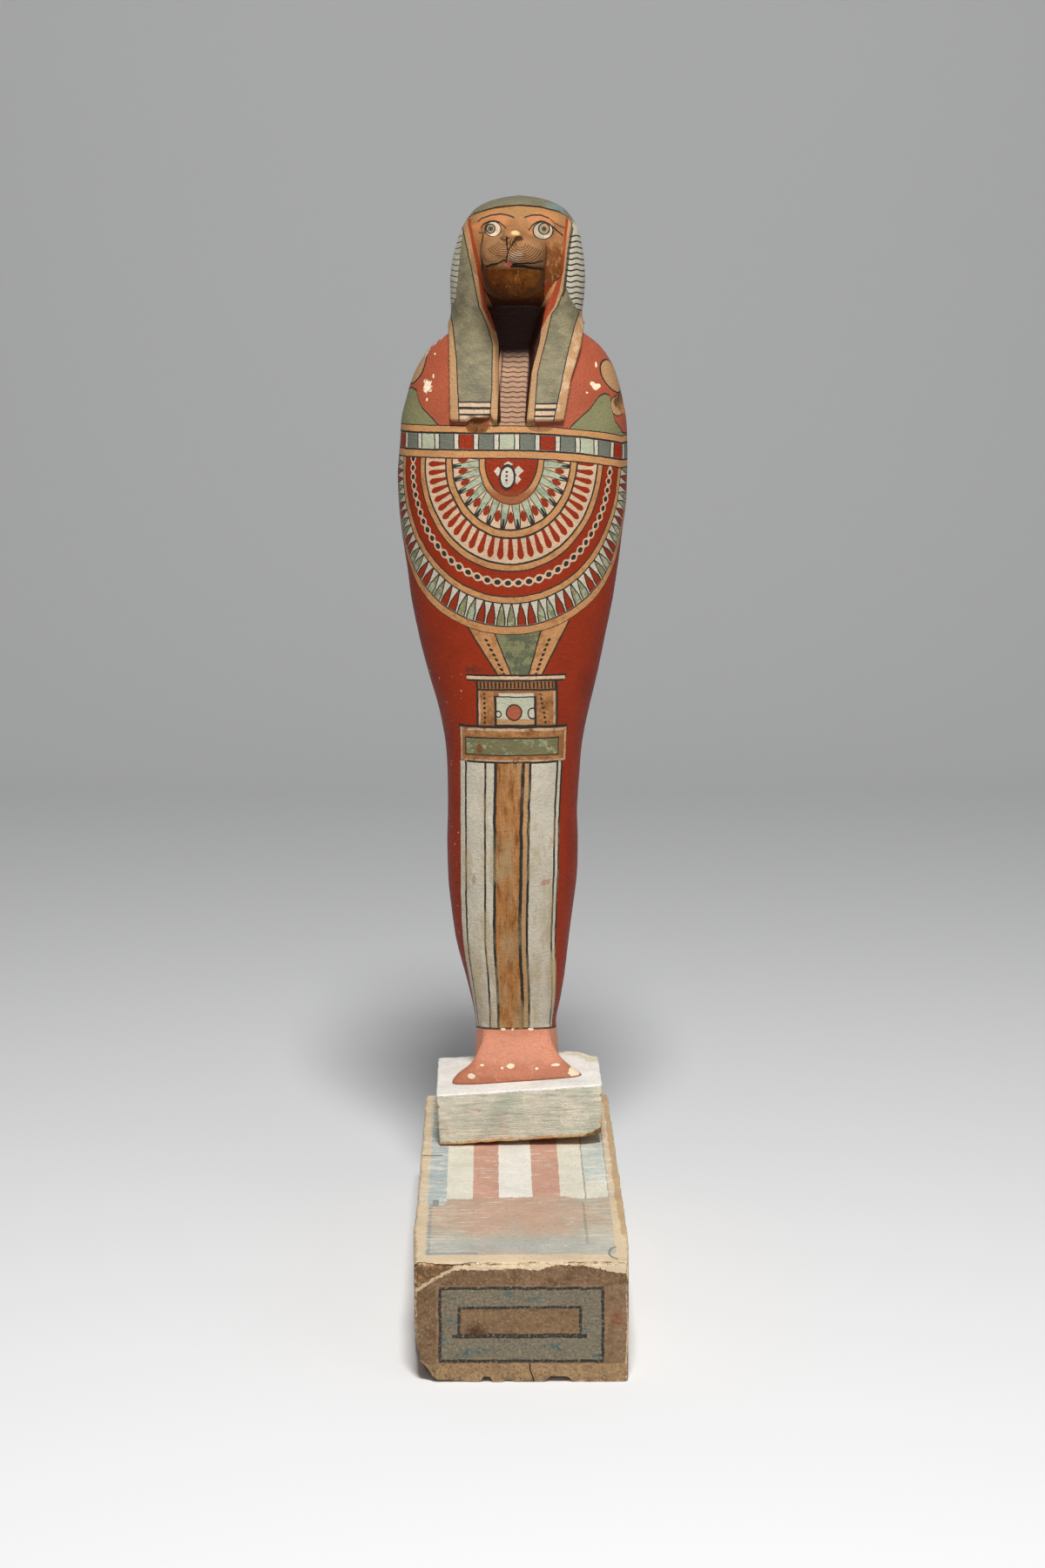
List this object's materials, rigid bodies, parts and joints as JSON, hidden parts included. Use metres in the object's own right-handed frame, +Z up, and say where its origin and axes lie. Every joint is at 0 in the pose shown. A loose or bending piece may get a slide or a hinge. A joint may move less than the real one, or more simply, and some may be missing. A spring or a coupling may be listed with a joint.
{
  "type": "mummiform figure on a base",
  "caption": "Painted wooden mummiform figure with a baboon's head and a striped wig, upright on a small block near the back of a long low base.",
  "frame": {"origin": "middle of the base's underside", "axes": "+Z up along the figure, -Y the way the figure faces along the base, +X to the right seen from the front"},
  "size_m": [0.1296, 0.309, 0.5965],
  "materials": {
    "painted_figure": "matte gesso and paint",
    "gessoed_block": "matte gesso and paint",
    "gessoed_base": "matte worn gesso and paint"
  },
  "bodies": {
    "root": {"figure": "painted_figure", "foot_block": "gessoed_block", "base": "gessoed_base"}
  },
  "joints": []
}
